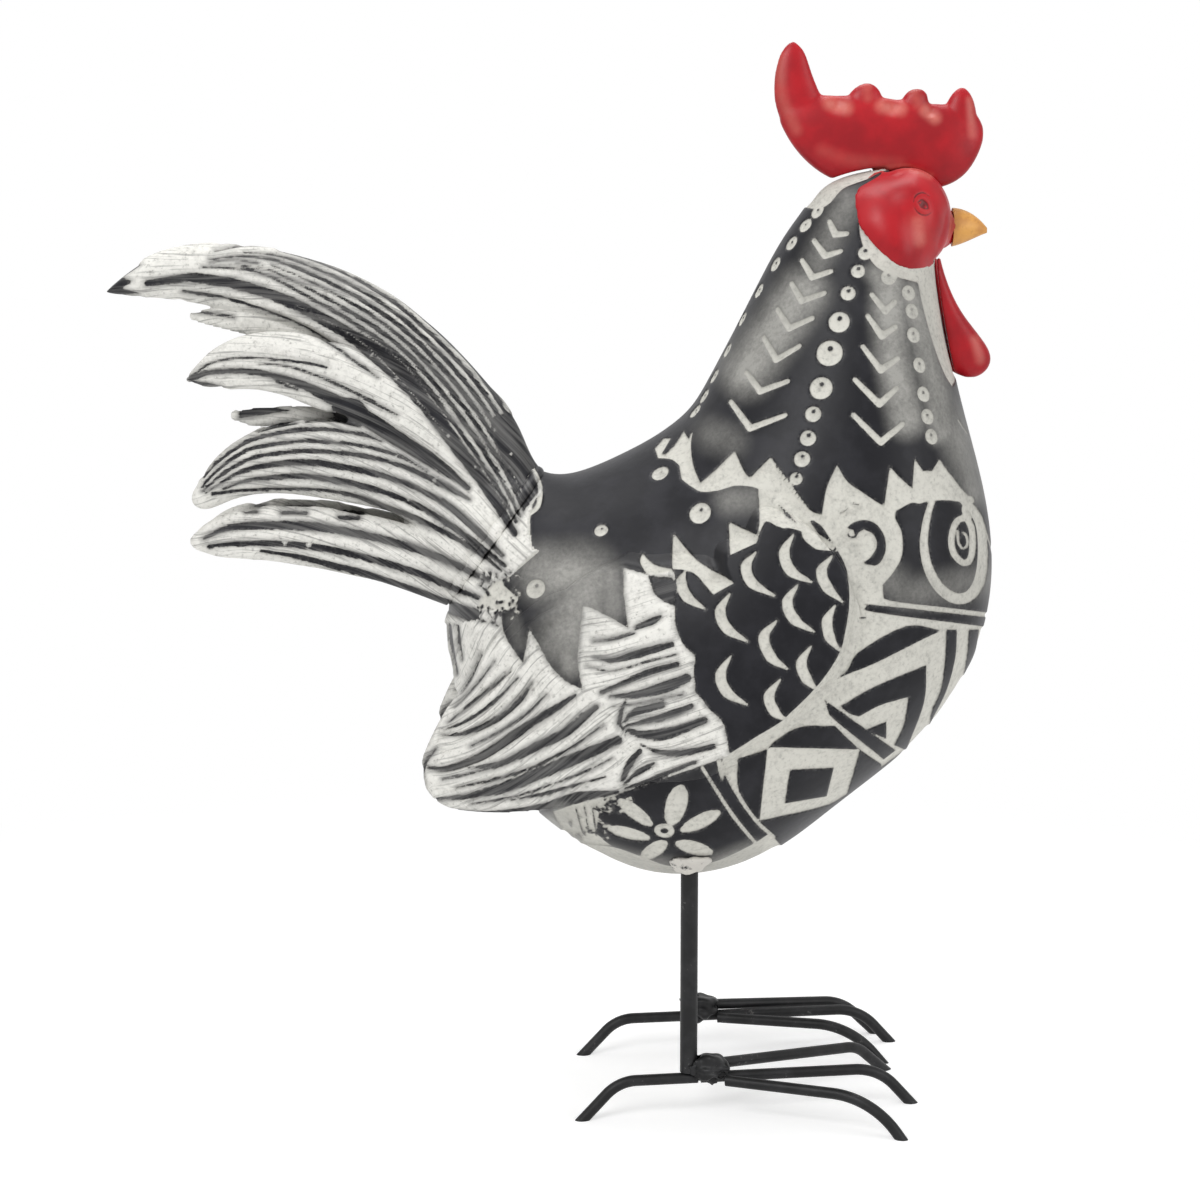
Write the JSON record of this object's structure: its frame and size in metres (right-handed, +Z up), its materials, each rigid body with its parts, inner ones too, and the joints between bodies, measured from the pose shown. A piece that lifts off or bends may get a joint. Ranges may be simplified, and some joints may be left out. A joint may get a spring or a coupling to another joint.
{
  "type": "standing rooster ornament",
  "caption": "Hollow painted rooster figure with comb, wattles, pressed-on wings and a feathered tail, standing on two thin wire legs with splayed wire toes.",
  "frame": {"origin": "bottom centre of the box round the whole ornament, on the floor", "axes": "+X the way the beak points, +Y the rooster's left side, +Z up"},
  "size_m": [0.2564, 0.1172, 0.3058],
  "materials": {
    "black_white_cast": "satin black with a rubbed off-white pattern",
    "red_cast": "satin red paint",
    "ochre_beak": "satin ochre paint",
    "black_filler": "matte black painted filler",
    "black_steel": "satin black paint on steel wire"
  },
  "bodies": {
    "root": {"body_shell": "black_white_cast", "tail": "black_white_cast", "tail_filler": "black_filler", "comb": "red_cast", "face": "red_cast", "beak": "ochre_beak", "wing_right": "black_white_cast", "wattle_right": "red_cast", "leg_right": "black_steel", "leg_collar_right": "black_filler", "weld_bead_right": "black_steel", "toe_hind_right": "black_steel", "toe_outer_right": "black_steel", "toe_middle_right": "black_steel", "toe_inner_right": "black_steel", "wing_left": "black_white_cast", "wattle_left": "red_cast", "leg_left": "black_steel", "leg_collar_left": "black_filler", "weld_bead_left": "black_steel", "toe_hind_left": "black_steel", "toe_outer_left": "black_steel", "toe_middle_left": "black_steel", "toe_inner_left": "black_steel"}
  },
  "joints": []
}
